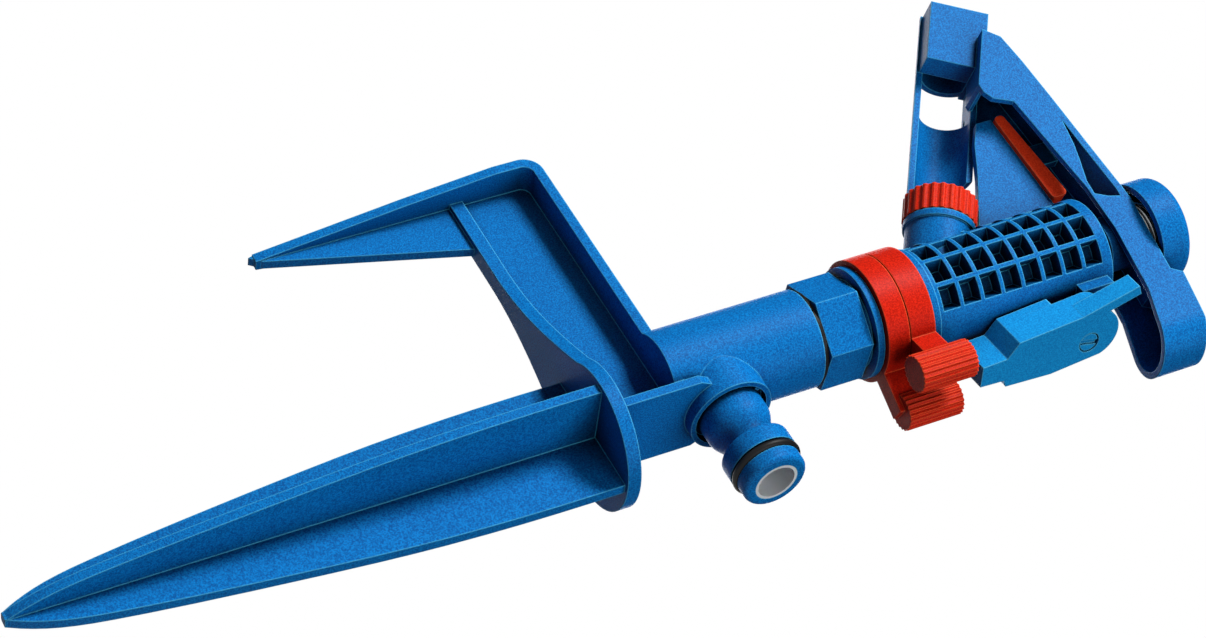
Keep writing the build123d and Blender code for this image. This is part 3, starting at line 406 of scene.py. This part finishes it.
def turned(name, profile, root, axis_z, steps, material):
    """Turns a closed profile of (distance, radius): x = root - distance, y = radius * cos(angle),
    z = axis_z + radius * sin(angle). The angle falls from 0 to -360 degrees, so that a profile
    drawn along its outside first, from root to mouth, faces out."""
    angle = np.linspace(0, -2 * np.pi, steps, endpoint=False)
    distance = profile[:, :1]
    radius = profile[:, 1:]
    points = np.stack(np.broadcast_arrays(
        root - distance, radius * np.cos(angle), axis_z + radius * np.sin(angle)), axis=-1)
    piece = grid_mesh(name, points, True, material)
    piece.data.set_sharp_from_angle(angle=np.radians(SHARP_BEND))
    return piece


def box_of(node):
    """The lowest and the highest corner of a CAD node's box."""
    low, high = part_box(node)
    return np.array(low), np.array(high)


def place_camera(s):
    """The camera stands at the eye and looks away from back, which is square to right and up."""
    right = Vector(s.right).normalized()
    up = Vector(s.up)
    up = (up - right * up.dot(right)).normalized()
    back = right.cross(up)
    camera = add_object("camera", bpy.data.cameras.new("camera"))
    camera.data.lens = s.lens
    camera.data.sensor_width = SENSOR_WIDTH
    camera.data.clip_end = VIEW_DEPTH
    camera.matrix_world = Matrix((
        (right.x, up.x, back.x, s.eye[0]),
        (right.y, up.y, back.y, s.eye[1]),
        (right.z, up.z, back.z, s.eye[2]),
        (0, 0, 0, 1)))
    bpy.context.scene.camera = camera


def hang_lamps(s):
    """Square soft lamps, each with the power that the stage settings hold under its name."""
    for name, (direction, away, width) in LAMPS.items():
        lamp = add_object(name, bpy.data.lights.new(name, "AREA"))
        lamp.data.size = width
        lamp.data.energy = getattr(s, name)
        toward = Vector(direction).normalized()
        lamp.location = Vector(LAMP_AIM) + toward * away
        lamp.rotation_euler = toward.to_track_quat("Z", "Y").to_euler()


def lay_floor(floor_z, material):
    """A level square that neither lights the object nor throws a shadow on it."""
    half = FLOOR_HALF_WIDTH
    corners = [(-half, -half, floor_z), (half, -half, floor_z), (half, half, floor_z), (-half, half, floor_z)]
    mesh = bpy.data.meshes.new("floor")
    mesh.from_pydata(corners, [], [(0, 1, 2, 3)])
    mesh.materials.append(material)
    floor = add_object("floor", mesh)
    floor.visible_diffuse = False
    floor.visible_shadow = False


def light_surroundings(s):
    """A white world: full strength for the camera and through clear things, the gloss setting in
    reflections, and the sky setting as light on the object."""
    world = bpy.data.worlds.new("studio")
    world.use_nodes = True
    tree = world.node_tree
    tree.nodes.clear()
    rays = add_node(tree, "ShaderNodeLightPath")
    seen = add_node(tree, "ShaderNodeMath",
                    {0: rays.outputs["Is Camera Ray"], 1: rays.outputs["Is Transmission Ray"]},
                    operation="ADD", use_clamp=True)
    dim = add_node(tree, "ShaderNodeMapRange",
                   {"Value": rays.outputs["Is Glossy Ray"], "To Min": s.sky, "To Max": s.gloss})
    strength = add_node(tree, "ShaderNodeMapRange",
                        {"Value": seen.outputs[0], "To Min": dim.outputs["Result"], "To Max": 1.0})
    light = add_node(tree, "ShaderNodeBackground",
                     {"Color": (1, 1, 1, 1), "Strength": strength.outputs["Result"]})
    add_node(tree, "ShaderNodeOutputWorld", {"Surface": light.outputs[0]})
    bpy.context.scene.world = world


class SPRINKLER_OT_stage(bpy.types.Operator):
    """Camera at the photograph's angle, soft lamps, pale floor and white surroundings"""
    bl_idname = "sprinkler.stage"
    bl_label = "Stage"

    def execute(self, context):
        s = context.scene.sprinkler_stage
        place_camera(s)
        hang_lamps(s)
        lay_floor(s.floor_z, studio_board("pale_studio_board", context.scene.sprinkler_finish.board))
        light_surroundings(s)
        context.scene.view_settings.view_transform = "Standard"
        return {"FINISHED"}


class SPRINKLER_OT_finishes(bpy.types.Operator):
    """Makes the finishes and gives each CAD node its own"""
    bl_idname = "sprinkler.finishes"
    bl_label = "Finishes"

    def execute(self, context):
        s = context.scene.sprinkler_finish
        # each finish's last number is how much colour the painted shade leaves deep in a pocket
        blue = moulded_plastic(BLUE_PLASTIC, s.blue, s.blue_dark, s.blue_edge_highlight, rough=0.48, pocket_share_under_painted_shade=0.06)
        pale = moulded_plastic("pale_blue_moulded_polypropylene", s.pale_blue, s.pale_blue_dark,
                               s.pale_blue_edge_highlight, rough=0.48, pocket_share_under_painted_shade=0.3)
        red = moulded_plastic("orange_red_moulded_polypropylene", s.red, s.red_dark, s.red_edge_highlight,
                              rough=0.42, pocket_share_under_painted_shade=0.5)
        # painted light: the buffer's finish is a lighter red that is darkened less in pockets, to brighten
        # the bar in the arm's shadow
        lightened_buffer_red = moulded_plastic("orange_red_elastomer", s.buffer, s.buffer_dark, s.buffer_edge_highlight,
                                     rough=0.55, pocket_share_under_painted_shade=0.9)
        rubber = seal_rubber("black_nitrile_rubber", s.rubber, s.rubber_bloom)
        white = white_acetal("natural_acetal", s.white, s.white_shade)
        steel = drawn_metal(SPRING_STEEL, s.steel, s.steel_dark, rough=0.3)
        brass = drawn_metal("turned_brass", s.brass, s.brass_dark, rough=0.28)
        paint(blue, "spike_body", "hose_nipple", "bearing_nut", "head_body", "impact_arm", "spring_cap")
        paint(pale, "trip_lever", "trip_pin")
        paint(red, "stop_collar_lower", "stop_collar_upper", "nozzle_nut")
        paint(lightened_buffer_red, "impact_buffer")
        paint(rubber, "nipple_o_ring", "nut_seal", "pivot_washer")
        paint(white, "nipple_liner", "pivot_tube", "nozzle_insert", "arm_washer")
        paint(steel, "arm_shaft", "bearing_spring", "arm_spring")
        paint(brass, "arm_bush")
        return {"FINISHED"}


class SPRINKLER_OT_coils(bpy.types.Operator):
    """Winds the bearing spring and the arm's return spring in place of their plain solids"""
    bl_idname = "sprinkler.coils"
    bl_label = "Coils"

    def execute(self, context):
        s = context.scene.sprinkler_coils
        steel = bpy.data.materials[SPRING_STEEL]
        springs = (("bearing_spring", "base", "bearing_coil"), ("arm_spring", "head", "arm_coil"))
        for node, body, name in springs:
            low, high = box_of(node)
            radius = (high[0] - low[0]) / 2 - s.wire / 2
            points = coil_points(low[2], high[2], radius, s.wire, s.turns, s.steps)
            piece = grid_mesh(name, points, False, steel)
            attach(piece, body)
            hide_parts(node)
        return {"FINISHED"}


class SPRINKLER_OT_nipple(bpy.types.Operator):
    """Turns the hose nipple with its coned foot, narrow waist, rounded collar and nose"""
    bl_idname = "sprinkler.nipple"
    bl_label = "Nipple"

    def execute(self, context):
        s = context.scene.sprinkler_nipple
        low, high = box_of("hose_nipple")
        seal_low, seal_high = box_of("nipple_o_ring")
        _, liner_high = box_of("nipple_liner")
        # the root lies at the box's high end of X, and every distance counts from it
        root = high[0]
        mouth = root - low[0]
        groove_start = root - seal_high[0] - s.seal_play
        groove_end = root - seal_low[0] + s.seal_play
        liner_start = root - liner_high[0]
        # the cone falls from foot to waist as half a cosine
        t = np.linspace(0, 1, s.cone_steps)
        cone = np.stack([s.cone_start + (s.cone_end - s.cone_start) * t,
                         s.waist + (s.foot - s.waist) * (1 + np.cos(np.pi * t)) / 2], axis=1)
        waist_end = (s.cone_end + s.waist_run, s.waist)
        collar_face = (s.collar_start - s.collar_round, s.collar - s.collar_round)
        collar_top = (s.collar_start, s.collar)
        nose_edge = (mouth - s.nose_round, s.nose)
        nose_face = (mouth, s.nose - s.nose_round)
        profile = np.vstack([
            [(0, s.bore), (0, s.plug), (s.shoulder, s.plug), (s.shoulder, s.foot)],
            cone,
            rounded(waist_end, collar_face, along_first=True),
            rounded(collar_face, collar_top, along_first=False)[1:],
            [(groove_start, s.collar), (groove_start, s.groove)],
            [(groove_end, s.groove), (groove_end, s.nose)],
            rounded(nose_edge, nose_face, along_first=True),
            [(mouth, s.liner), (liner_start, s.liner), (liner_start, s.bore)]])
        axis_z = (low[2] + high[2]) / 2
        piece = turned("hose_nipple_turned", profile, root, axis_z, s.steps, bpy.data.materials[BLUE_PLASTIC])
        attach(piece, "base")
        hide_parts("hose_nipple")
        return {"FINISHED"}


class SPRINKLER_PT_panel(bpy.types.Panel):
    """Lists the sprinkler's stage, finishes and pieces"""
    bl_idname = "SPRINKLER_PT_panel"
    bl_label = "Spike Sprinkler"
    bl_space_type = "VIEW_3D"
    bl_region_type = "UI"
    bl_category = "Sprinkler"

    def draw(self, context):
        for operator in OPERATORS:
            self.layout.operator(operator.bl_idname)


OPERATORS = (SPRINKLER_OT_stage, SPRINKLER_OT_finishes, SPRINKLER_OT_coils, SPRINKLER_OT_nipple)
SETTINGS = {
    "sprinkler_stage": StageSettings,
    "sprinkler_finish": FinishSettings,
    "sprinkler_coils": CoilSettings,
    "sprinkler_nipple": NippleSettings,
}


def register():
    for cls in (*SETTINGS.values(), *OPERATORS, SPRINKLER_PT_panel):
        bpy.utils.register_class(cls)
    for name, group in SETTINGS.items():
        setattr(bpy.types.Scene, name, PointerProperty(type=group))


def unregister():
    for name in SETTINGS:
        delattr(bpy.types.Scene, name)
    for cls in reversed((*SETTINGS.values(), *OPERATORS, SPRINKLER_PT_panel)):
        bpy.utils.unregister_class(cls)


def main():
    register()
    bpy.ops.sprinkler.stage()
    bpy.ops.sprinkler.finishes()
    bpy.ops.sprinkler.coils()
    bpy.ops.sprinkler.nipple()


if __name__ == "__main__":
    main()
